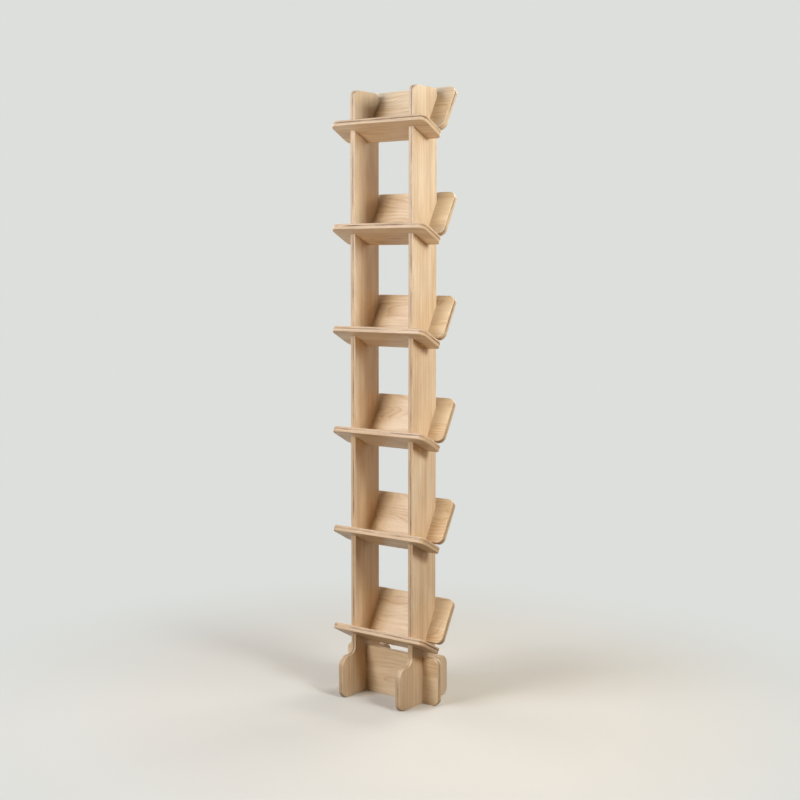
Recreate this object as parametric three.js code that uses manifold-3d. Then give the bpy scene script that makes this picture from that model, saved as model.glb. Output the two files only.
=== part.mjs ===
// A spine bookshelf: a tall, narrow tower of fifteen plywood boards that slot together without
// fasteners. Two uprights stand side by side. Six shelves slide into them from the front and lean
// back, six back boards drop into them from behind, square to the shelves, and one plank crosses
// both uprights at the floor. Millimetres: X runs across, Y from the front to the back, Z up. The
// origin is on the floor, under the middle of the uprights.

import * as THREE from 'three';
import { mergeVertices } from 'three/addons/utils/BufferGeometryUtils.js';
import Module from 'manifold-3d';

const wasm = await Module();
wasm.setup();

// The sheet that every board is cut from, and how the boards are finished and fitted.
const sheetThickness = 18;
const cornerRadius = 20;
const edgeEasing = 1.5;
const jointClearance = 0.3;
const cutOverrun = 5;

// The plank that crosses the feet. Its offset is behind the middle of the uprights.
const plankLength = 352;
const plankHeight = 143;
const plankOffset = 2;

// The six levels. Each has a shelf that slopes down to the back, and a back board square to it
// that stands clear of the shelf. The lowest shelf's rear edge clears the plank.
const levelCount = 6;
const levelPitch = 306;
const plankClearance = 13.75;
const levelLean = THREE.MathUtils.degToRad(28);

const shelfLength = 352;
const shelfDepth = 103;
const shelfOverhang = 20;

const backLength = 352;
const backHeight = 140;
const backSetback = 89;
const backLift = 12;

// The two uprights. They rise past the front edge of the top shelf.
const uprightRise = 89;
const uprightDepth = 115;
const uprightSpacing = 220;
const footHeight = 127;
const footReach = 61;
const footShoulderRadius = 30;
const footHollowRadius = 24;

// Where the two slots of a crossing meet, along the stretch that the two boards share.
const seamShare = 0.5;

// Steps in a rounded corner and in an eased edge.
const cornerSteps = 10;
const easingSteps = 2;

// Colours of clear-finished birch: pale where the faces catch the light, deeper where they don't.
const uprightColour = 0xdcc39c;
const shelfColour = 0xcfae82;
const backColour = 0xe0c6a2;
const plankColour = 0xd2b58b;
const lacquerRoughness = 0.5;

const halfSheet = sheetThickness / 2;
const uprightFront = -uprightDepth / 2;
const uprightBack = uprightDepth / 2;

// Heights of the lowest and the top shelf's front edge, on their top faces.
const shelfDrop = shelfDepth * Math.sin(levelLean) + sheetThickness * Math.cos(levelLean);
const lowestShelfHeight = plankHeight + plankClearance + shelfDrop;
const topShelfHeight = lowestShelfHeight + (levelCount - 1) * levelPitch;
const uprightHeight = topShelfHeight + uprightRise;

const acrossAxis = new THREE.Vector3(1, 0, 0);
const backwardAxis = new THREE.Vector3(0, 1, 0);
const upAxis = new THREE.Vector3(0, 0, 1);
const downShelfAxis = new THREE.Vector3(0, Math.cos(levelLean), -Math.sin(levelLean));
const upBackAxis = new THREE.Vector3(0, Math.sin(levelLean), Math.cos(levelLean));

// A closed outline through corners [x, y, radius], each rounded by the arc that touches both of
// its sides.
function roundedShape(corners) {
  const shape = new THREE.Shape();
  const count = corners.length;
  corners.forEach(([x, y, radius], index) => {
    const corner = new THREE.Vector2(x, y);
    const [lastX, lastY] = corners[(index + count - 1) % count];
    const [nextX, nextY] = corners[(index + 1) % count];
    const toLast = new THREE.Vector2(lastX, lastY).sub(corner).normalize();
    const toNext = new THREE.Vector2(nextX, nextY).sub(corner).normalize();
    const halfAngle = toLast.angleTo(toNext) / 2;
    const toCentre = toLast.clone().add(toNext).setLength(radius / Math.sin(halfAngle));
    const tangentLength = radius / Math.tan(halfAngle);
    const start = toLast.clone().multiplyScalar(tangentLength).sub(toCentre);
    const end = toNext.clone().multiplyScalar(tangentLength).sub(toCentre);
    const clockwise = toLast.cross(toNext) > 0;
    const centre = corner.add(toCentre);
    shape.absarc(centre.x, centre.y, radius, start.angle(), end.angle(), clockwise);
  });
  return shape;
}

// The outline of a plain board: centred across, rising from zero, with four rounded corners.
function boardShape(length, height) {
  return roundedShape([
    [-length / 2, 0, cornerRadius],
    [length / 2, 0, cornerRadius],
    [length / 2, height, cornerRadius],
    [-length / 2, height, cornerRadius],
  ]);
}

// The outline of an upright from its side: a straight board that spreads at the bottom into a
// toe and a heel, each with a hollow above a round shoulder.
function uprightShape() {
  const toe = uprightFront - footReach;
  const heel = uprightBack + footReach;
  return roundedShape([
    [toe, 0, cornerRadius],
    [heel, 0, cornerRadius],
    [heel, footHeight, footShoulderRadius],
    [uprightBack, footHeight, footHollowRadius],
    [uprightBack, uprightHeight, cornerRadius],
    [uprightFront, uprightHeight, cornerRadius],
    [uprightFront, footHeight, footHollowRadius],
    [toe, footHeight, footShoulderRadius],
  ]);
}

// An outline cut from the sheet, with eased edges. The middle of its thickness is at zero.
function boardGeometry(shape) {
  const geometry = new THREE.ExtrudeGeometry(shape, {
    depth: sheetThickness - 2 * edgeEasing,
    curveSegments: cornerSteps / 2,
    bevelThickness: edgeEasing,
    bevelSize: edgeEasing,
    bevelOffset: -edgeEasing,
    bevelSegments: easingSteps,
  });
  return geometry.translate(0, 0, edgeEasing - halfSheet);
}

function toSolid(geometry) {
  const bare = geometry.clone();
  bare.deleteAttribute('normal');
  bare.deleteAttribute('uv');
  const merged = mergeVertices(bare);
  const vertProperties = new Float32Array(merged.attributes.position.array);
  const triVerts = new Uint32Array(merged.index.array);
  return new wasm.Manifold(new wasm.Mesh({ numProp: 3, vertProperties, triVerts }));
}

function toGeometry(solid) {
  const { vertProperties, triVerts } = solid.getMesh();
  const geometry = new THREE.BufferGeometry();
  geometry.setAttribute('position', new THREE.BufferAttribute(vertProperties, 3));
  geometry.setIndex(new THREE.BufferAttribute(triVerts, 1));
  geometry.computeVertexNormals();
  return geometry;
}

// A board in its place. Its outline's X and Y lie along the two axes given, and the middle of
// its thickness passes through the origin given.
function makeBoard(name, colour, shape, origin, outlineX, outlineY) {
  const thicknessAxis = outlineX.clone().cross(outlineY);
  const place = new THREE.Matrix4().makeBasis(outlineX, outlineY, thicknessAxis);
  place.setPosition(origin);
  return { name, colour, place, solid: toSolid(boardGeometry(shape)) };
}

// Cuts out of a board a tool that is given in the frame of the board that it makes room for.
function cutFrom(board, tool, toolBoard) {
  const change = board.place.clone().invert().multiply(toolBoard.place);
  board.solid = board.solid.subtract(toSolid(tool.applyMatrix4(change)));
}

// A box that starts just short of the seam, at a height on its board, and runs past the board's
// edge, upwards for a reach above zero and downwards for one below zero.
function slotTool(middle, halfWidth, halfDepth, seam, reach) {
  const start = seam - (Math.sign(reach) * jointClearance) / 2;
  const end = seam + reach;
  const tool = new THREE.BoxGeometry(2 * halfWidth, Math.abs(end - start), 2 * halfDepth);
  return tool.translate(middle, (start + end) / 2, 0);
}

// A cross-lap where a board passes through an upright. The upright is slotted on the side of the
// seam that the reach points to, and the board is notched on the other side, so each fills the
// other's slot and they slide together edge to edge.
function crossLap(board, upright, seam, reach) {
  const middle = upright.place.elements[12];
  const through = halfSheet + cutOverrun;
  const snug = halfSheet + jointClearance;
  cutFrom(upright, slotTool(middle, through, snug, seam, reach), board);
  cutFrom(board, slotTool(middle, snug, through, seam, -reach), board);
}

function makeUpright(name, side) {
  const origin = new THREE.Vector3((side * uprightSpacing) / 2, 0, 0);
  return makeBoard(name, uprightColour, uprightShape(), origin, backwardAxis, upAxis);
}

// The middle of a shelf's front edge, on its top face.
function shelfFront(level) {
  const height = lowestShelfHeight + level * levelPitch;
  return new THREE.Vector3(0, uprightFront - shelfOverhang, height);
}

// A shelf slides in from the front, down its own slope, so its notches open at its back edge.
function makeShelf(level, uprights) {
  const origin = shelfFront(level).addScaledVector(upBackAxis, -halfSheet);
  const shape = boardShape(shelfLength, shelfDepth);
  const name = `shelf_${level + 1}`;
  const shelf = makeBoard(name, shelfColour, shape, origin, acrossAxis, downShelfAxis);
  const entry = (uprightFront - origin.y) / downShelfAxis.y;
  const seam = entry + (shelfDepth - entry) * seamShare;
  const reach = shelfDepth + uprightDepth;
  uprights.forEach((upright) => crossLap(shelf, upright, seam, -reach));
  return shelf;
}

// A back board drops in from behind, down its own slope, so its notches open at its lower edge.
function makeBack(level, uprights) {
  const origin = shelfFront(level)
    .addScaledVector(downShelfAxis, backSetback + halfSheet)
    .addScaledVector(upBackAxis, backLift);
  const shape = boardShape(backLength, backHeight);
  const name = `back_${level + 1}`;
  const back = makeBoard(name, backColour, shape, origin, acrossAxis, upBackAxis);
  const exit = (uprightBack - origin.y) / upBackAxis.y;
  const seam = exit * seamShare;
  const reach = backHeight + uprightDepth / upBackAxis.y;
  uprights.forEach((upright) => crossLap(back, upright, seam, reach));
  return back;
}

// The plank stands on the floor and the uprights are lowered over it.
function makePlank(uprights) {
  const origin = new THREE.Vector3(0, plankOffset, 0);
  const shape = boardShape(plankLength, plankHeight);
  const plank = makeBoard('base_plank', plankColour, shape, origin, acrossAxis, upAxis);
  const seam = plankHeight * seamShare;
  uprights.forEach((upright) => crossLap(plank, upright, seam, -plankHeight));
  return plank;
}

function toMesh(board) {
  const material = new THREE.MeshStandardMaterial({
    color: board.colour,
    roughness: lacquerRoughness,
    metalness: 0,
    flatShading: true,
  });
  const mesh = new THREE.Mesh(toGeometry(board.solid), material);
  mesh.name = board.name;
  mesh.applyMatrix4(board.place);
  return mesh;
}

const uprights = [makeUpright('left_upright', -1), makeUpright('right_upright', 1)];
const plank = makePlank(uprights);
const levels = [...Array(levelCount).keys()];
const shelves = levels.map((level) => makeShelf(level, uprights));
const backs = levels.map((level) => makeBack(level, uprights));

const group = new THREE.Group();
[...uprights, plank, ...shelves, ...backs].forEach((board) => group.add(toMesh(board)));

export default group;
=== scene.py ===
import math

import bpy
from mathutils import Matrix, Vector


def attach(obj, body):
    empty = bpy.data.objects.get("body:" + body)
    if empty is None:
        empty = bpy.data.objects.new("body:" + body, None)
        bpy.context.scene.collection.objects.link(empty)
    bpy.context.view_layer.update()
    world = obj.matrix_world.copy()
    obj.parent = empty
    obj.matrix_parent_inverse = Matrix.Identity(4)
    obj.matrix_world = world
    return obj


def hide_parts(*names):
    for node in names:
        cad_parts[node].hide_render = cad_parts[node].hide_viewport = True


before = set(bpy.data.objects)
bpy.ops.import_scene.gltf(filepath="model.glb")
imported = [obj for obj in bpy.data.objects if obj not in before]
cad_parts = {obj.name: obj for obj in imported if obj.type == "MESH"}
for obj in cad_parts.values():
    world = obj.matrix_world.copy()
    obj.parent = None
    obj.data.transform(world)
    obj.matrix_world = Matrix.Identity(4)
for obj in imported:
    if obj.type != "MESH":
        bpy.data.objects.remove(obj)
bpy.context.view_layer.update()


# Base plank: one birch plywood board on edge across both feet, standing on the floor. It is cut
# from 18 mm sheet with round corners, its edges are eased with a small cutter, and two notches
# in its top edge take the uprights, which are lowered over it.
MM = 0.001
SHEET = 18.0
EDGE_EASING = 1.7  # 0.2 more than in the solids, whose coarser easing this finer one stays inside
CORNER_RADIUS = 20.0
JOINT_PLAY = 0.3
CUT_OVERRUN = 5.0
CORNER_STEPS = 18
EASING_STEPS = 4
EASED_ANGLE = math.radians(60)  # sharper corners than this are eased
CREASE_ANGLE = math.radians(35)  # sharper ones than this, such as a slot's, shade as an edge
FLAT = 0.9999  # how square to the sheet's thickness a face has to be to count as its flat side
WELD = 1e-6  # metres
UPRIGHT_SPACING = 220.0
BOARD_LENGTH = 352.0
PLANK_HEIGHT = 143.0
PLANK_OFFSET = 2.0
PLANK_VENEER = [3.1, 1.7, 0.0]  # where its pattern starts in the veneer, in metres
SNUG = SHEET + 2 * JOINT_PLAY
THROUGH = SHEET + 2 * CUT_OVERRUN


def linear(hex_colour):
    """The linear colour of an sRGB hex value, with full alpha."""
    parts = [int(hex_colour[i : i + 2], 16) / 255 for i in (1, 3, 5)]
    return [c / 12.92 if c <= 0.04045 else ((c + 0.055) / 1.055) ** 2.4 for c in parts] + [1.0]


def add_node(tree, kind, *values, sockets=None, **settings):
    """Adds a node with its settings. Values go to its open sockets in order, and sockets to the
    ones that they name. A node given as a value is linked from its first open output."""
    node = tree.nodes.new(kind)
    for name, value in settings.items():
        setattr(node, name, value)
    open_sockets = [s for s in node.inputs if s.enabled]
    named = {s.name: s for s in reversed(open_sockets)}
    pairs = list(zip(open_sockets, values))
    pairs += [(named[name], value) for name, value in (sockets or {}).items()]
    for socket, value in pairs:
        if isinstance(value, bpy.types.Node):
            value = next(s for s in value.outputs if s.enabled)
        if isinstance(value, bpy.types.NodeSocket):
            tree.links.new(value, socket)
        else:
            socket.default_value = value
    return node


def new_tree(name, inputs):
    """An empty geometry tree with named inputs. Returns the tree and what it is given."""
    tree = bpy.data.node_groups.new(name, "GeometryNodeTree")
    for label, kind in inputs:
        tree.interface.new_socket(label, in_out="INPUT", socket_type="NodeSocket" + kind)
    tree.interface.new_socket("Geometry", in_out="OUTPUT", socket_type="NodeSocketGeometry")
    return tree, tree.nodes.new("NodeGroupInput").outputs


def sheet_tree():
    """Rounds an outline's corners and gives it the sheet's thickness."""
    inputs = [("Geometry", "Geometry"), ("Sheet thickness", "Float"), ("Corner steps", "Int")]
    tree, given = new_tree("Board cut from sheet", inputs)
    thickness = given["Sheet thickness"]
    radius = add_node(tree, "GeometryNodeInputNamedAttribute", "corner_radius")
    curve = add_node(tree, "GeometryNodeMeshToCurve", given["Geometry"])
    corners = {"Radius": radius, "Count": given["Corner steps"], "Limit Radius": False}
    rounded = add_node(tree, "GeometryNodeFilletCurve", curve, sockets=corners, mode="POLY")
    face = add_node(tree, "GeometryNodeFillCurve", rounded, mode="NGONS")
    lift = {"Offset Scale": thickness, "Individual": False}
    raised = add_node(tree, "GeometryNodeExtrudeMesh", face, sockets=lift)
    underside = add_node(tree, "GeometryNodeFlipFaces", face)
    joined = add_node(tree, "GeometryNodeJoinGeometry", raised)
    tree.links.new(underside.outputs["Mesh"], joined.inputs[0])
    welded = add_node(tree, "GeometryNodeMergeByDistance", joined, sockets={"Distance": WELD})
    half = add_node(tree, "ShaderNodeMath", thickness, -0.5, operation="MULTIPLY")
    shift = add_node(tree, "ShaderNodeCombineXYZ", sockets={"Z": half})
    centred = add_node(tree, "GeometryNodeTransform", welded, sockets={"Translation": shift})
    add_node(tree, "NodeGroupOutput", centred)
    return tree


def lap_tree(rows):
    """Cuts rows of slots out of a board, keeps its grain, and puts it in its place."""
    inputs = [("Geometry", "Geometry")]
    for row in rows:
        inputs += [(row + " count", "Int"), (row + " start", "Vector"), (row + " step", "Vector")]
        inputs += [(row + " size", "Vector"), (row + " turn", "Vector")]
    inputs += [("Grain turn", "Float"), ("Veneer offset", "Vector"), ("Place", "Vector")]
    inputs += [("Turn", "Vector"), ("Finish", "Material")]
    tree, given = new_tree("Cross-lapped board, " + ", ".join(rows).lower(), inputs)
    board = given["Geometry"]
    index = add_node(tree, "GeometryNodeInputIndex")
    for row in rows:
        start = given[row + " start"]
        step = given[row + " step"]
        step = add_node(tree, "ShaderNodeVectorMath", step, index, operation="SCALE")
        spot = add_node(tree, "ShaderNodeVectorMath", start, step, operation="ADD")
        spots = add_node(tree, "GeometryNodePoints", given[row + " count"], spot)
        cutter = add_node(tree, "GeometryNodeMeshCube", given[row + " size"])
        turned = {"Points": spots, "Instance": cutter, "Rotation": given[row + " turn"]}
        cutters = add_node(tree, "GeometryNodeInstanceOnPoints", sockets=turned)
        whole = add_node(tree, "GeometryNodeRealizeInstances", cutters)
        cut = {"Mesh 1": board, "Mesh 2": whole}
        board = add_node(
            tree, "GeometryNodeMeshBoolean", sockets=cut, operation="DIFFERENCE", solver="EXACT"
        )
    # The grain keeps to the sheet: a place and a facing along it, across it and through it.
    position = add_node(tree, "GeometryNodeInputPosition")
    normal = add_node(tree, "GeometryNodeInputNormal")
    along = {"Vector": position, "Angle": given["Grain turn"]}
    run = add_node(tree, "ShaderNodeVectorRotate", sockets=along, rotation_type="Z_AXIS")
    moved = add_node(tree, "ShaderNodeVectorMath", run, given["Veneer offset"], operation="ADD")
    turned = {"Vector": normal, "Angle": given["Grain turn"]}
    facing = add_node(tree, "ShaderNodeVectorRotate", sockets=turned, rotation_type="Z_AXIS")
    stored = (("grain_place", moved, "POINT"), ("grain_facing", facing, "FACE"))
    for name, value, domain in stored:
        board = add_node(
            tree,
            "GeometryNodeStoreNamedAttribute",
            sockets={"Geometry": board, "Name": name, "Value": value},
            data_type="FLOAT_VECTOR",
            domain=domain,
        )
    # An edge between a flat face and its easing has one neighbour of each kind, so it reads half.
    tilt = add_node(tree, "ShaderNodeSeparateXYZ", normal)
    upright = add_node(tree, "ShaderNodeMath", tilt.outputs["Z"], operation="ABSOLUTE")
    is_face = add_node(tree, "ShaderNodeMath", upright, FLAT, operation="GREATER_THAN")
    marked = add_node(
        tree,
        "GeometryNodeStoreNamedAttribute",
        sockets={"Geometry": board, "Name": "flat_face", "Value": is_face},
        data_type="FLOAT",
        domain="FACE",
    )
    flat = add_node(tree, "GeometryNodeInputNamedAttribute", "flat_face")
    rim = add_node(tree, "ShaderNodeMath", flat, 0.5, 0.3, operation="COMPARE")
    bend = add_node(tree, "GeometryNodeInputMeshEdgeAngle").outputs["Unsigned Angle"]
    crisp = add_node(tree, "ShaderNodeMath", bend, CREASE_ANGLE, operation="GREATER_THAN")
    sharp = add_node(tree, "ShaderNodeMath", rim, crisp, operation="MAXIMUM")
    smooth = add_node(
        tree,
        "GeometryNodeSetShadeSmooth",
        sockets={"Geometry": marked, "Shade Smooth": True},
        domain="FACE",
    )
    creased = add_node(
        tree,
        "GeometryNodeSetShadeSmooth",
        sockets={"Geometry": smooth, "Selection": sharp, "Shade Smooth": False},
        domain="EDGE",
    )
    cleared = add_node(tree, "GeometryNodeRemoveAttribute", creased, sockets={"Name": "flat_face"})
    where = {"Translation": given["Place"], "Rotation": given["Turn"]}
    placed = add_node(tree, "GeometryNodeTransform", cleared, sockets=where)
    real = add_node(tree, "GeometryNodeRealizeInstances", placed)
    finish = {"Material": given["Finish"]}
    finished = add_node(tree, "GeometryNodeSetMaterial", real, sockets=finish)
    add_node(tree, "NodeGroupOutput", finished)
    return tree


def put_through(board, tree, values):
    """Adds a geometry tree to a board, with its inputs set by their identifiers."""
    step = board.modifiers.new(tree.name, "NODES")
    step.node_group = tree
    for item in tree.interface.items_tree:
        if item.in_out == "INPUT" and item.name in values:
            step[item.identifier] = values[item.name]


def slot_row(name, count, start, step, size, turn=0.0):
    """The inputs of a row of slots, from sizes in millimetres and a turn in the board's plane."""
    return {
        name + " count": count,
        name + " start": [v * MM for v in start],
        name + " step": [v * MM for v in step],
        name + " size": [v * MM for v in size],
        name + " turn": [0.0, 0.0, turn],
    }


cut_from_sheet = sheet_tree()
notched = lap_tree(["Notch"])


def make_board(name, corners, laps, values, finish):
    """A board from its corners [x, y, radius] in millimetres, eased, slotted and in its place."""
    mesh = bpy.data.meshes.new(name)
    count = len(corners)
    points = [(x * MM, y * MM, 0.0) for x, y, _ in corners]
    mesh.from_pydata(points, [(i, (i + 1) % count) for i in range(count)], [])
    radius = mesh.attributes.new("corner_radius", "FLOAT", "POINT")
    radius.data.foreach_set("value", [r * MM for _, _, r in corners])
    board = bpy.data.objects.new(name, mesh)
    bpy.context.scene.collection.objects.link(board)
    sheet = {"Sheet thickness": SHEET * MM, "Corner steps": CORNER_STEPS}
    put_through(board, cut_from_sheet, sheet)
    easing = board.modifiers.new("Eased edges", "BEVEL")
    easing.width = EDGE_EASING * MM
    easing.segments = EASING_STEPS
    easing.limit_method = "ANGLE"
    easing.angle_limit = EASED_ANGLE
    put_through(board, laps, {**values, "Finish": finish})
    graph = bpy.context.evaluated_depsgraph_get()
    solid = bpy.data.meshes.new_from_object(board.evaluated_get(graph), depsgraph=graph)
    solid.name = name
    solid.materials.pop(index=0)  # the empty slot of the bare outline
    board.modifiers.clear()
    board.data = solid
    bpy.data.meshes.remove(mesh)
    return board


def plain_outline(length, height):
    """The corners of a plain board, centred across and rising from zero."""
    half = length / 2
    ends = [(-half, 0.0), (half, 0.0), (half, height), (-half, height)]
    return [(x, y, CORNER_RADIUS) for x, y in ends]


# Birch plywood, sanded and clear lacquered to a satin sheen. Rotary-cut face veneers give it a
# pale face with soft growth rings, fine straight fibres and a few pin knots. The sawn edges show
# the plies as lines: pale where the grain runs along the edge, browner where it is cut across.
#
# Sizes are in millimetres, along the grain, across it and through the sheet. Tones go from 0 for
# none to 1 for full, and levels are how high a noise between 0 and 1 has to be for a mark to show.
PLIES = 13
INSIDE = 0.9998  # keeps the two flat sides within the outer plies
PLY_OFFSET = 0.037  # how far apart two neighbouring plies' patterns lie, in metres


def ply_layers(tree):
    """Counts the plies through the sheet. Every other one has its grain across the board.
    Returns where the shaded spot lies in them, and whether it is cut across or on an edge."""
    place = add_node(tree, "ShaderNodeAttribute", attribute_name="grain_place")
    facing = add_node(tree, "ShaderNodeAttribute", attribute_name="grain_facing")
    at = add_node(tree, "ShaderNodeSeparateXYZ", place.outputs["Vector"]).outputs
    to = add_node(tree, "ShaderNodeSeparateXYZ", facing.outputs["Vector"]).outputs
    through = INSIDE * PLIES / (SHEET * MM)
    depth = add_node(tree, "ShaderNodeMath", at[2], through, PLIES / 2, operation="MULTIPLY_ADD")
    ply = add_node(tree, "ShaderNodeMath", depth, operation="FLOOR")
    crossed = add_node(tree, "ShaderNodeMath", ply, 2.0, operation="MODULO")
    along = add_node(tree, "ShaderNodeMix", crossed, at[0], at[1], data_type="FLOAT")
    across = add_node(tree, "ShaderNodeMix", crossed, at[1], at[0], data_type="FLOAT")
    to_end = add_node(tree, "ShaderNodeMath", to[0], operation="ABSOLUTE")
    to_side = add_node(tree, "ShaderNodeMath", to[1], operation="ABSOLUTE")
    end_cut = add_node(tree, "ShaderNodeMix", crossed, to_end, to_side, data_type="FLOAT")
    level = add_node(tree, "ShaderNodeMath", ply, PLY_OFFSET, at[2], operation="MULTIPLY_ADD")
    grain = add_node(tree, "ShaderNodeCombineXYZ", along, across, level)
    to_face = add_node(tree, "ShaderNodeMath", to[2], operation="ABSOLUTE")
    on_edge = add_node(tree, "ShaderNodeMath", to_face, 0.5, operation="LESS_THAN")
    return {
        "place": place.outputs["Vector"],
        "depth": depth,
        "ply": ply,
        "across": across,
        "grain": grain,
        "end cut": end_cut,
        "on edge": on_edge,
    }


FIBRE_SIZE = (70.0, 1.2, 12.0)  # real fibres are finer, these are bundles
STREAK_SIZE = (320.0, 7.0, 12.0)
CLOUD_SIZE = (180.0, 42.0, 12.0)
PORE_SIZE = (9.0, 0.7, 12.0)
FLAME_DEPTH = 12.0


def grain_noises(tree, grain, flame_size):
    """The noises, drawn out along the grain, that the wood's figure is made of."""
    noises = {}
    for label, size, detail in (
        ("fibre", FIBRE_SIZE, 2.0),
        ("streak", STREAK_SIZE, 4.0),
        ("cloud", CLOUD_SIZE, 2.0),
        ("pore", PORE_SIZE, 1.0),
        ("flame", (*flame_size, FLAME_DEPTH), 1.0),
    ):
        scale = [1 / (v * MM) for v in size]
        spot = add_node(tree, "ShaderNodeVectorMath", grain, scale, operation="MULTIPLY")
        noises[label] = add_node(
            tree,
            "ShaderNodeTexNoise",
            sockets={"Vector": spot, "Scale": 1.0, "Detail": detail, "Roughness": 0.5},
            noise_dimensions="3D",
        )
    return noises


# Growth rings: how far the fibres fray one's line, how late in its width it darkens, how suddenly
# it ends, and how sharply and how seldom the clouds let it show.
RING_FRAY = 0.3
RING_POWER = 3.0
RING_END = 24.0
CLEAR_GAIN = 4.0
CLEAR_LOSS = 1.5


def growth_rings(tree, across, noises, ring_width, flames):
    """The rings' late wood. They are the contour lines of a slow wave on a slope across the
    grain, and each darkens slowly to its late wood and ends at once."""
    slope = 1 / (ring_width * MM)
    ring = add_node(tree, "ShaderNodeMath", noises["flame"], flames, operation="MULTIPLY")
    ring = add_node(tree, "ShaderNodeMath", across, slope, ring, operation="MULTIPLY_ADD")
    ring = add_node(
        tree, "ShaderNodeMath", noises["fibre"], RING_FRAY, ring, operation="MULTIPLY_ADD"
    )
    ring = add_node(tree, "ShaderNodeMath", ring, operation="FRACT")
    last = add_node(tree, "ShaderNodeMath", ring, RING_END, operation="POWER")
    until_last = add_node(tree, "ShaderNodeMath", 1.0, last, operation="SUBTRACT")
    growth = add_node(tree, "ShaderNodeMath", ring, RING_POWER, operation="POWER")
    late = add_node(tree, "ShaderNodeMath", growth, until_last, operation="MULTIPLY")
    clear = add_node(
        tree,
        "ShaderNodeMath",
        noises["cloud"],
        CLEAR_GAIN,
        -CLEAR_LOSS,
        operation="MULTIPLY_ADD",
        use_clamp=True,
    )
    return add_node(tree, "ShaderNodeMath", late, clear, operation="MULTIPLY")


FIBRE_TONE = 0.7
CLOUD_TONE = 1.0


def face_veneer(tree, noises, late_wood, pale, deep, tone, streaks, rings):
    """The veneer's colour, from pale to deep by its fibres, streaks, clouds and late wood."""
    strengths = {"fibre": FIBRE_TONE, "streak": streaks, "cloud": CLOUD_TONE}
    depth_of_tone = tone - sum(strengths.values()) / 2
    for label, strength in strengths.items():
        depth_of_tone = add_node(
            tree,
            "ShaderNodeMath",
            noises[label],
            strength,
            depth_of_tone,
            operation="MULTIPLY_ADD",
        )
    depth_of_tone = add_node(
        tree,
        "ShaderNodeMath",
        late_wood,
        rings,
        depth_of_tone,
        operation="MULTIPLY_ADD",
        use_clamp=True,
    )
    return add_node(
        tree, "ShaderNodeMix", depth_of_tone, linear(pale), linear(deep), data_type="RGBA"
    )


# Pores and pin knots. A knot's tone falls from its middle to nothing in 1 / KNOT_FALL of a cell.
PORE_LEVEL = 0.69
PORE_TONE = 0.3
KNOT_SPACING = (210.0, 130.0, 60.0)
KNOT_LEVEL = 0.72
KNOT_FALL = 22.0
KNOT_TONE = 0.75
KNOT_BROWN = "#8a6242"


def with_pores_and_knots(tree, face, grain, pore_noise):
    """The face with its pores, short dark dashes, and its pin knots, small brown eyes."""
    pores = add_node(tree, "ShaderNodeMath", pore_noise, PORE_LEVEL, operation="GREATER_THAN")
    pores = add_node(tree, "ShaderNodeMath", pores, PORE_TONE, operation="MULTIPLY")
    spacing = [1 / (v * MM) for v in KNOT_SPACING]
    spot = add_node(tree, "ShaderNodeVectorMath", grain, spacing, operation="MULTIPLY")
    eyes = add_node(
        tree,
        "ShaderNodeTexVoronoi",
        sockets={"Vector": spot, "Scale": 1.0},
        voronoi_dimensions="3D",
    )
    chance = add_node(tree, "ShaderNodeSeparateColor", eyes.outputs["Color"])
    drawn = add_node(tree, "ShaderNodeMath", chance, KNOT_LEVEL, operation="GREATER_THAN")
    knot = add_node(
        tree,
        "ShaderNodeMath",
        eyes.outputs["Distance"],
        -KNOT_FALL,
        1.0,
        operation="MULTIPLY_ADD",
        use_clamp=True,
    )
    knot = add_node(tree, "ShaderNodeMath", knot, drawn, operation="MULTIPLY")
    knot = add_node(tree, "ShaderNodeMath", knot, KNOT_TONE, operation="MULTIPLY")
    marks = add_node(tree, "ShaderNodeMath", pores, knot, operation="MAXIMUM")
    return add_node(tree, "ShaderNodeMix", marks, face, linear(KNOT_BROWN), data_type="RGBA")


# Sawn edges: how much of the face's figure sawing hides, how far a veneer keeps its tone, how
# many plies share one, how far apart the shared tones and the plies lie in their noise, and how
# much a tone changes along the edge. A core veneer's changes more, the browner it is.
SAWN_BIRCH = "#d2b28b"
SAWN_SHARE = 0.5
END_GRAIN = "#75543b"
TONE_RUN = 110.0
TONE_PLIES = 3.0
BAND_OFFSET = 3.71
PLY_SHIFT = 0.13
PLY_CHANGE = 1.3
CORE_CHANGE = 6.0
END_CUT_TONE = 0.24
OUTER_CUT_TONE = 0.08


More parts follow.
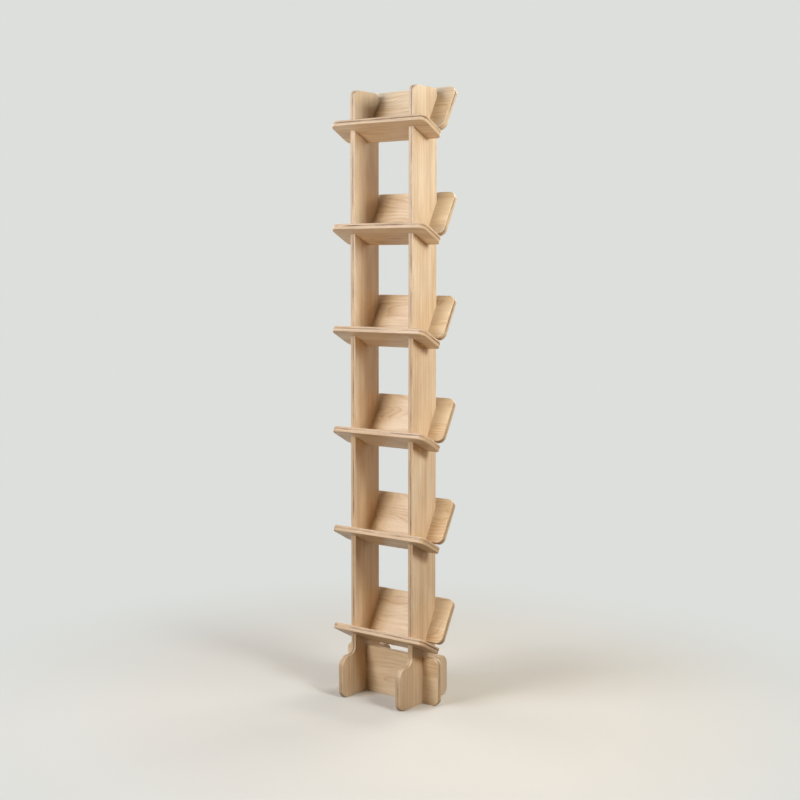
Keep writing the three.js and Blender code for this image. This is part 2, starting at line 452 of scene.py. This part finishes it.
def sawn_plies(tree, layers, face, core_tone):
    """Colours the sawn edges and leaves the flat faces as they are. What shows from further off
    are three browner core veneers beside the middle. Veneers share a tone by threes, wider than
    one real ply, and it comes and goes along the edge. Returns the colour, which plies are the
    core's, and the noise that the tones change by."""
    evened = add_node(
        tree, "ShaderNodeMath", layers["on edge"], SAWN_SHARE, operation="MULTIPLY"
    )
    sawn = add_node(tree, "ShaderNodeMix", evened, face, linear(SAWN_BIRCH), data_type="RGBA")
    middle = (PLIES - 1) / 2
    from_middle = add_node(tree, "ShaderNodeMath", layers["ply"], middle, operation="SUBTRACT")
    band = add_node(tree, "ShaderNodeMath", from_middle, 0.5, operation="ADD")
    band = add_node(tree, "ShaderNodeMath", band, TONE_PLIES, operation="DIVIDE")
    band = add_node(tree, "ShaderNodeMath", band, operation="FLOOR")
    ply_shift = add_node(tree, "ShaderNodeMath", layers["ply"], PLY_SHIFT, operation="MULTIPLY")
    band_place = add_node(
        tree, "ShaderNodeMath", band, BAND_OFFSET, ply_shift, operation="MULTIPLY_ADD"
    )
    run = [1 / (TONE_RUN * MM), 1 / (TONE_RUN * MM), 0.0]
    edge_run = add_node(tree, "ShaderNodeVectorMath", layers["place"], run, operation="MULTIPLY")
    lift = add_node(tree, "ShaderNodeCombineXYZ", sockets={"Z": band_place})
    edge_place = add_node(tree, "ShaderNodeVectorMath", edge_run, lift, operation="ADD")
    change_noise = add_node(
        tree,
        "ShaderNodeTexNoise",
        sockets={"Vector": edge_place, "Scale": 1.0, "Detail": 4.0, "Roughness": 0.6},
        noise_dimensions="3D",
    )
    core = add_node(tree, "ShaderNodeMath", band, 0.0, 0.1, operation="COMPARE")
    off_middle = add_node(tree, "ShaderNodeMath", from_middle, operation="ABSOLUTE")
    inner = add_node(tree, "ShaderNodeMath", off_middle, middle - 0.5, operation="LESS_THAN")
    change = add_node(
        tree,
        "ShaderNodeMath",
        core,
        CORE_CHANGE * core_tone,
        PLY_CHANGE,
        operation="MULTIPLY_ADD",
    )
    brown = add_node(tree, "ShaderNodeMath", core, core_tone, operation="MULTIPLY")
    brown = add_node(
        tree, "ShaderNodeMath", layers["end cut"], END_CUT_TONE, brown, operation="MULTIPLY_ADD"
    )
    varied = add_node(tree, "ShaderNodeMath", change_noise, 0.5, operation="SUBTRACT")
    brown = add_node(tree, "ShaderNodeMath", varied, change, brown, operation="MULTIPLY_ADD")
    brown = add_node(tree, "ShaderNodeMath", brown, inner, operation="MULTIPLY", use_clamp=True)
    brown = add_node(
        tree,
        "ShaderNodeMath",
        layers["end cut"],
        OUTER_CUT_TONE,
        brown,
        operation="MULTIPLY_ADD",
        use_clamp=True,
    )
    edge = add_node(tree, "ShaderNodeMix", brown, sawn, linear(END_GRAIN), data_type="RGBA")
    return edge, core, change_noise


GLUE_WIDTH = 0.22
GLUE_TONE = 0.3
GAP_LEVEL = 0.65
GAP_TONE = 0.65
GLUE_BROWN = "#432f20"


def with_glue_and_gaps(tree, layers, edge, core, change_noise):
    """The edge with the glue lines between its plies, and the odd gap left open in a core ply."""
    seam = add_node(tree, "ShaderNodeMath", layers["depth"], operation="FRACT")
    seam = add_node(tree, "ShaderNodeMath", seam, 0.5, operation="SUBTRACT")
    seam = add_node(tree, "ShaderNodeMath", seam, operation="ABSOLUTE")
    glue_start = 0.5 - GLUE_WIDTH / 2 / (SHEET / PLIES)
    glue = add_node(tree, "ShaderNodeMath", seam, glue_start, operation="GREATER_THAN")
    glue = add_node(tree, "ShaderNodeMath", glue, layers["on edge"], operation="MULTIPLY")
    glue = add_node(tree, "ShaderNodeMath", glue, GLUE_TONE, operation="MULTIPLY")
    gap = add_node(tree, "ShaderNodeMath", change_noise, GAP_LEVEL, operation="GREATER_THAN")
    gap = add_node(tree, "ShaderNodeMath", gap, core, operation="MULTIPLY")
    gap = add_node(tree, "ShaderNodeMath", gap, GAP_TONE, operation="MULTIPLY")
    lines = add_node(tree, "ShaderNodeMath", glue, gap, operation="MAXIMUM")
    colour = add_node(tree, "ShaderNodeMix", lines, edge, linear(GLUE_BROWN), data_type="RGBA")
    return colour, gap


# The lacquer's sheen, what fibres and cut ends add to its roughness, and the relief under it.
SATIN = 0.34
FIBRE_ROUGHNESS = 0.16
END_ROUGHNESS = 0.12
RING_RELIEF = -0.5
GAP_RELIEF = -4.0
RELIEF_HEIGHT = 0.1


def birch_plywood(
    name, pale, deep, tone, streaks, rings, ring_width, flames, flame_size, core_tone
):
    """Clear-lacquered birch plywood. Pale and deep are its face's colours and tone is how far it
    goes from one to the other. Streaks and rings are how strong its streaks and growth rings
    look, ring_width is how far apart the rings lie where the grain is straight, and flames how
    many of them bend round in a flame, whose length and width are flame_size. Core_tone is how
    brown the darker core veneers are on the sawn edges."""
    finish = bpy.data.materials.new(name)
    finish.use_nodes = True
    tree = finish.node_tree
    tree.nodes.clear()
    layers = ply_layers(tree)
    noises = grain_noises(tree, layers["grain"], flame_size)
    late_wood = growth_rings(tree, layers["across"], noises, ring_width, flames)
    face = face_veneer(tree, noises, late_wood, pale, deep, tone, streaks, rings)
    face = with_pores_and_knots(tree, face, layers["grain"], noises["pore"])
    edge, core, change_noise = sawn_plies(tree, layers, face, core_tone)
    colour, gap = with_glue_and_gaps(tree, layers, edge, core, change_noise)

    # Cut ends and fibres take the lacquer unevenly, so the sheen is broken along the grain.
    rough = add_node(
        tree,
        "ShaderNodeMath",
        noises["fibre"],
        FIBRE_ROUGHNESS,
        SATIN,
        operation="MULTIPLY_ADD",
    )
    rough = add_node(
        tree, "ShaderNodeMath", layers["end cut"], END_ROUGHNESS, rough, operation="MULTIPLY_ADD"
    )
    relief = add_node(
        tree, "ShaderNodeMath", late_wood, RING_RELIEF, noises["fibre"], operation="MULTIPLY_ADD"
    )
    relief = add_node(tree, "ShaderNodeMath", gap, GAP_RELIEF, relief, operation="MULTIPLY_ADD")
    bump = add_node(
        tree,
        "ShaderNodeBump",
        sockets={"Strength": 0.3, "Distance": RELIEF_HEIGHT * MM, "Height": relief},
    )
    shader = add_node(
        tree,
        "ShaderNodeBsdfPrincipled",
        sockets={
            "Base Color": colour,
            "Roughness": rough,
            "IOR": 1.42,
            "Normal": bump,
            "Coat Weight": 0.15,
            "Coat Roughness": 0.18,
        },
    )
    add_node(tree, "ShaderNodeOutputMaterial", shader)
    return finish


plank_birch = birch_plywood(
    "lacquered birch plywood, plank",
    pale="#ead3b0",
    deep="#c8a379",
    tone=0.36,
    streaks=0.7,
    rings=0.45,
    ring_width=17.0,
    flames=12.0,
    flame_size=(320.0, 95.0),
    core_tone=0.45,
)

plank_seam = PLANK_HEIGHT / 2
notch_bottom = plank_seam - JOINT_PLAY / 2
notch_height = PLANK_HEIGHT + CUT_OVERRUN - notch_bottom
plank = make_board(
    "base_plank_board",
    plain_outline(BOARD_LENGTH, PLANK_HEIGHT),
    notched,
    {
        **slot_row(
            "Notch",
            2,
            (-UPRIGHT_SPACING / 2, notch_bottom + notch_height / 2, 0),
            (UPRIGHT_SPACING, 0, 0),
            (SNUG, notch_height, THROUGH),
        ),
        "Veneer offset": PLANK_VENEER,
        "Place": [0.0, PLANK_OFFSET * MM, 0.0],
        "Turn": [math.radians(90), 0.0, 0.0],
    },
    plank_birch,
)
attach(plank, "root")
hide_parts("base_plank")


# Uprights: two tall boards cut alike, their faces to the sides, each with a foot that spreads
# into a toe and a heel. The veneer's grain runs up them. Each has six slanted slots in its front
# edge for the shelves, six in its rear edge for the back boards, and one below for the plank.
LEVELS = 6
PITCH = 306.0
LEAN = math.radians(28)
PLANK_CLEARANCE = 13.75
SHELF_DEPTH = 103.0
SHELF_OVERHANG = 20.0
BACK_HEIGHT = 140.0
BACK_SETBACK = 89.0
BACK_LIFT = 12.0
UPRIGHT_RISE = 89.0
UPRIGHT_DEPTH = 115.0
FOOT_HEIGHT = 127.0
FOOT_REACH = 61.0
FOOT_SHOULDER_RADIUS = 30.0
FOOT_HOLLOW_RADIUS = 24.0
UPRIGHT_VENEERS = {"left_upright": [0.0, 2.9, 0.0], "right_upright": [5.3, 8.2, 0.0]}
front = -UPRIGHT_DEPTH / 2
rear = UPRIGHT_DEPTH / 2
shelf_drop = SHELF_DEPTH * math.sin(LEAN) + SHEET * math.cos(LEAN)
lowest_shelf = PLANK_HEIGHT + PLANK_CLEARANCE + shelf_drop
upright_height = lowest_shelf + (LEVELS - 1) * PITCH + UPRIGHT_RISE
down_shelf = Vector((math.cos(LEAN), -math.sin(LEAN)))
up_back = Vector((math.sin(LEAN), math.cos(LEAN)))

# Places in an upright's plane, back and up: the middle of the sheet at the lowest shelf's front
# edge and at the lowest back board's foot, and how far along each board its seam lies.
shelf_front = Vector((front - SHELF_OVERHANG, lowest_shelf))
shelf_origin = shelf_front - up_back * SHEET / 2
shelf_entry = (front - shelf_origin.x) / down_shelf.x
shelf_seam = (shelf_entry + SHELF_DEPTH) / 2
back_origin = shelf_front + down_shelf * (BACK_SETBACK + SHEET / 2) + up_back * BACK_LIFT
back_seam = (rear - back_origin.x) / up_back.x / 2


def slot_along(origin, direction, start, end):
    """The middle and the length of a slot cut along a direction from an origin."""
    middle = origin + direction * (start + end) / 2
    return (middle.x, middle.y, 0), abs(end - start)


upright_birch = birch_plywood(
    "lacquered birch plywood, uprights",
    pale="#e2cbab",
    deep="#bd9871",
    tone=0.41,
    streaks=0.9,
    rings=0.2,
    ring_width=9.0,
    flames=5.0,
    flame_size=(1200.0, 45.0),
    core_tone=0.36,
)
slotted_upright = lap_tree(["Shelf slot", "Back slot", "Plank slot"])
foot_outline = [
    (front - FOOT_REACH, 0.0, CORNER_RADIUS),
    (rear + FOOT_REACH, 0.0, CORNER_RADIUS),
    (rear + FOOT_REACH, FOOT_HEIGHT, FOOT_SHOULDER_RADIUS),
    (rear, FOOT_HEIGHT, FOOT_HOLLOW_RADIUS),
    (rear, upright_height, CORNER_RADIUS),
    (front, upright_height, CORNER_RADIUS),
    (front, FOOT_HEIGHT, FOOT_HOLLOW_RADIUS),
    (front - FOOT_REACH, FOOT_HEIGHT, FOOT_SHOULDER_RADIUS),
]
# A slanted slot's cutter has square ends, so it runs on further to clear the board's edge.
shelf_slot = slot_along(
    shelf_origin, down_shelf, shelf_entry - 2 * CUT_OVERRUN, shelf_seam + JOINT_PLAY / 2
)
back_slot = slot_along(
    back_origin, up_back, back_seam - JOINT_PLAY / 2, 2 * back_seam + 6 * CUT_OVERRUN
)
plank_slot = slot_along(
    Vector((PLANK_OFFSET, 0.0)), Vector((0.0, 1.0)), -CUT_OVERRUN, plank_seam + JOINT_PLAY / 2
)
for name, side in (("left_upright", -1), ("right_upright", 1)):
    upright = make_board(
        name + "_board",
        foot_outline,
        slotted_upright,
        {
            **slot_row(
                "Shelf slot",
                LEVELS,
                shelf_slot[0],
                (0, PITCH, 0),
                (shelf_slot[1], SNUG, THROUGH),
                -LEAN,
            ),
            **slot_row(
                "Back slot",
                LEVELS,
                back_slot[0],
                (0, PITCH, 0),
                (SNUG, back_slot[1], THROUGH),
                -LEAN,
            ),
            **slot_row(
                "Plank slot", 1, plank_slot[0], (0, 0, 0), (SNUG, plank_slot[1], THROUGH)
            ),
            "Grain turn": math.radians(-90),
            "Veneer offset": UPRIGHT_VENEERS[name],
            "Place": [side * UPRIGHT_SPACING / 2 * MM, 0.0, 0.0],
            "Turn": [math.radians(90), 0.0, math.radians(90)],
        },
        upright_birch,
    )
    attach(upright, "root")
    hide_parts(name)


# Shelves: six plain boards that slide in from the front and slope down to the back. Two notches
# in the rear edge of each fit over the uprights, and its ends stick out on both sides.
SHELF_VENEER = 7.0  # where the lowest one's pattern starts along the veneer, in metres
SHELF_VENEER_ALONG = 1.3  # and how far on the next one's starts, along and across
SHELF_VENEER_ACROSS = 0.83
shelf_birch = birch_plywood(
    "lacquered birch plywood, shelves",
    pale="#e5caa7",
    deep="#be966d",
    tone=0.36,
    streaks=0.9,
    rings=0.55,
    ring_width=16.0,
    flames=12.0,
    flame_size=(320.0, 90.0),
    core_tone=0.48,
)
notch_start = shelf_seam - JOINT_PLAY / 2
shelf_notch = SHELF_DEPTH + CUT_OVERRUN - notch_start
for level in range(LEVELS):
    name = f"shelf_{level + 1}"
    height = level * PITCH
    shelf = make_board(
        name + "_board",
        plain_outline(BOARD_LENGTH, SHELF_DEPTH),
        notched,
        {
            **slot_row(
                "Notch",
                2,
                (-UPRIGHT_SPACING / 2, notch_start + shelf_notch / 2, 0),
                (UPRIGHT_SPACING, 0, 0),
                (SNUG, shelf_notch, THROUGH),
            ),
            "Veneer offset": [
                SHELF_VENEER + SHELF_VENEER_ALONG * level, SHELF_VENEER_ACROSS * level, 0.0
            ],
            "Place": [0.0, shelf_origin.x * MM, (shelf_origin.y + height) * MM],
            "Turn": [-LEAN, 0.0, 0.0],
        },
        shelf_birch,
    )
    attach(shelf, "root")
    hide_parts(name)


# Back boards: six plain boards that drop in from behind, square to the shelves and leaning back.
# Two notches in the lower edge of each fit over the uprights. What stands on a shelf leans on one.
BACK_VENEER = 11.0
BACK_VENEER_ALONG = 0.97
BACK_VENEER_ACROSS = 1.31
back_birch = birch_plywood(
    "lacquered birch plywood, backs",
    pale="#ead4b2",
    deep="#c59f75",
    tone=0.32,
    streaks=0.6,
    rings=0.6,
    ring_width=17.0,
    flames=15.0,
    flame_size=(300.0, 90.0),
    core_tone=0.45,
)
back_notch = back_seam + JOINT_PLAY / 2 + CUT_OVERRUN
for level in range(LEVELS):
    name = f"back_{level + 1}"
    height = level * PITCH
    back = make_board(
        name + "_board",
        plain_outline(BOARD_LENGTH, BACK_HEIGHT),
        notched,
        {
            **slot_row(
                "Notch",
                2,
                (-UPRIGHT_SPACING / 2, back_notch / 2 - CUT_OVERRUN, 0),
                (UPRIGHT_SPACING, 0, 0),
                (SNUG, back_notch, THROUGH),
            ),
            "Veneer offset": [
                BACK_VENEER + BACK_VENEER_ALONG * level, BACK_VENEER_ACROSS * level, 0.0
            ],
            "Place": [0.0, back_origin.x * MM, (back_origin.y + height) * MM],
            "Turn": [math.radians(90) - LEAN, 0.0, 0.0],
        },
        back_birch,
    )
    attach(back, "root")
    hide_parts(name)


# Studio floor: plain, pale and almost matt. Away from the piece it fades into the backdrop, so
# that no horizon shows. The light that it throws back onto the boards is that of a darker grey.
FLOOR_HALF = 15.0
FADE_START = 0.35
FADE_END = 1.8
BACKDROP = "#dddfdc"
FLOOR_SHOWN = "#d4cfc6"
FLOOR_BOUNCE = "#6b655c"
floor_mesh = bpy.data.meshes.new("studio_floor")
floor_corners = [(-1, -1), (1, -1), (1, 1), (-1, 1)]
floor_mesh.from_pydata(
    [(x * FLOOR_HALF, y * FLOOR_HALF, 0) for x, y in floor_corners], [], [(0, 1, 2, 3)]
)
floor = bpy.data.objects.new("studio_floor", floor_mesh)
bpy.context.scene.collection.objects.link(floor)
floor_finish = bpy.data.materials.new("pale matt floor")
floor_finish.use_nodes = True
floor_tree = floor_finish.node_tree
floor_tree.nodes.clear()


def background_rays(tree):
    """One for the rays that show the background: the camera's and those of gloss and glass."""
    rays = add_node(tree, "ShaderNodeLightPath").outputs
    shown = rays["Is Camera Ray"]
    for kind in ("Is Glossy Ray", "Is Transmission Ray"):
        shown = add_node(tree, "ShaderNodeMath", shown, rays[kind], operation="MAXIMUM")
    return shown


seen = background_rays(floor_tree)
floor_colour = add_node(
    floor_tree, "ShaderNodeMix", seen, linear(FLOOR_BOUNCE), linear(FLOOR_SHOWN), data_type="RGBA"
)
floor_surface = add_node(
    floor_tree,
    "ShaderNodeBsdfPrincipled",
    sockets={"Base Color": floor_colour, "Roughness": 0.8, "Specular IOR Level": 0.05},
)
floor_place = add_node(floor_tree, "ShaderNodeTexCoord").outputs["Object"]
from_piece = add_node(floor_tree, "ShaderNodeVectorMath", floor_place, operation="LENGTH")
fade = add_node(
    floor_tree,
    "ShaderNodeMapRange",
    from_piece,
    FADE_START,
    FADE_END,
    interpolation_type="SMOOTHERSTEP",
)
fade_seen = add_node(floor_tree, "ShaderNodeMath", fade, seen, operation="MULTIPLY")
far_floor = add_node(floor_tree, "ShaderNodeEmission", linear(BACKDROP))
floor_shader = add_node(floor_tree, "ShaderNodeMixShader", fade_seen, floor_surface, far_floor)
add_node(floor_tree, "ShaderNodeOutputMaterial", floor_shader)
floor_mesh.materials.append(floor_finish)


# Studio light: soft lamps in front, high on the left and low in the middle, and near ones high on
# the right, so that the light falls off towards the floor. The high ones are daylight and the low
# ones a little warmer. One more on the left and two behind are mostly for the other sides.
DAYLIGHT = "#dae8ff"
SOFT_DAYLIGHT = "#effbff"
WHITE_LIGHT = "#fffaf2"
WARM_LIGHT = "#ffd9b8"
LOW_LIGHT = "#ffbe64"
AROUND_LIGHT = "#ffeeda"
AROUND_STRENGTH = 0.02
GLARE_LIMIT = 100.0  # watts per square metre; a brighter lamp would glare in the lacquer


def soft_lamp(name, bearing, height_angle, distance, size, power, aim_height, colour):
    """A square lamp around the piece, aimed at a height in its middle. Its bearing is 0 in front
    and 90 on the right. Angles are in degrees, lengths in metres and power in watts."""
    lamp = bpy.data.lights.new(name, "AREA")
    lamp.size = size
    lamp.energy = power
    lamp.color = linear(colour)[:3]
    holder = bpy.data.objects.new(name, lamp)
    bpy.context.scene.collection.objects.link(holder)
    holder.visible_camera = False
    holder.visible_glossy = power / size**2 < GLARE_LIMIT
    around, up = math.radians(bearing), math.radians(height_angle)
    ray = Vector(
        (math.sin(around) * math.cos(up), -math.cos(around) * math.cos(up), math.sin(up))
    )
    holder.location = Vector((0.0, 0.0, aim_height)) + ray * distance
    holder.rotation_euler = (-ray).to_track_quat("-Z", "Y").to_euler()


soft_lamp("key_lamp", -32, 33, 2.6, 1.0, 39.5, 1.35, DAYLIGHT)
soft_lamp("front_lamp", -15, 8, 3.6, 1.2, 75.0, 1.1, WHITE_LIGHT)
soft_lamp("front_left_lamp", -35, 10, 3.6, 1.2, 18.0, 1.1, DAYLIGHT)
soft_lamp("right_lamp", 80, 10, 2.4, 0.7, 54.0, 1.6, SOFT_DAYLIGHT)
soft_lamp("upper_right_lamp", 100, 18, 1.8, 0.8, 3.3, 1.7, DAYLIGHT)
soft_lamp("rear_right_lamp", 108, 14, 3.6, 1.2, 13.0, 1.1, WARM_LIGHT)
soft_lamp("lower_right_lamp", 70, 10, 1.6, 0.6, 3.6, 0.7, LOW_LIGHT)
soft_lamp("left_lamp", -90, 30, 3.6, 1.6, 30.0, 1.1, WHITE_LIGHT)
soft_lamp("rear_lamp", 170, 34, 3.6, 1.6, 60.0, 1.1, WHITE_LIGHT)
soft_lamp("low_rear_lamp", 190, 6, 3.6, 1.2, 24.0, 0.9, WHITE_LIGHT)
world = bpy.data.worlds.new("pale surround")
bpy.context.scene.world = world
world.use_nodes = True
world_tree = world.node_tree
world_tree.nodes.clear()
shown = background_rays(world_tree)
around = add_node(
    world_tree, "ShaderNodeBackground", linear(AROUND_LIGHT), AROUND_STRENGTH
)
backdrop = add_node(world_tree, "ShaderNodeBackground", linear(BACKDROP))
surround = add_node(world_tree, "ShaderNodeMixShader", shown, around, backdrop)
add_node(world_tree, "ShaderNodeOutputWorld", surround)


# Camera: to the right of the front and a little above the middle, as the photograph was taken.
PHOTO_WIDTH = 800
FOCAL_PIXELS = 1382.46
CAMERA_PLACE = Vector((2.571754, -3.269464, 1.314519))
YAW, PITCH_ANGLE, ROLL = (math.radians(a) for a in (37.9047, -5.4791, 0.0613))
view_data = bpy.data.cameras.new("photo_camera")
view_data.sensor_width = 36.0
view_data.lens = FOCAL_PIXELS / PHOTO_WIDTH * view_data.sensor_width
view_data.clip_end = 100.0
camera = bpy.data.objects.new("photo_camera", view_data)
bpy.context.scene.collection.objects.link(camera)
forward = Vector(
    (
        -math.sin(YAW) * math.cos(PITCH_ANGLE),
        math.cos(YAW) * math.cos(PITCH_ANGLE),
        math.sin(PITCH_ANGLE),
    )
)
level_right = Vector((math.cos(YAW), math.sin(YAW), 0.0))
level_up = level_right.cross(forward)
camera_right = level_right * math.cos(ROLL) + level_up * math.sin(ROLL)
camera_up = level_up * math.cos(ROLL) - level_right * math.sin(ROLL)
turn = Matrix((camera_right, camera_up, -forward)).transposed().to_4x4()
camera.matrix_world = Matrix.Translation(CAMERA_PLACE) @ turn
bpy.context.scene.camera = camera
bpy.context.scene.view_settings.view_transform = "Standard"
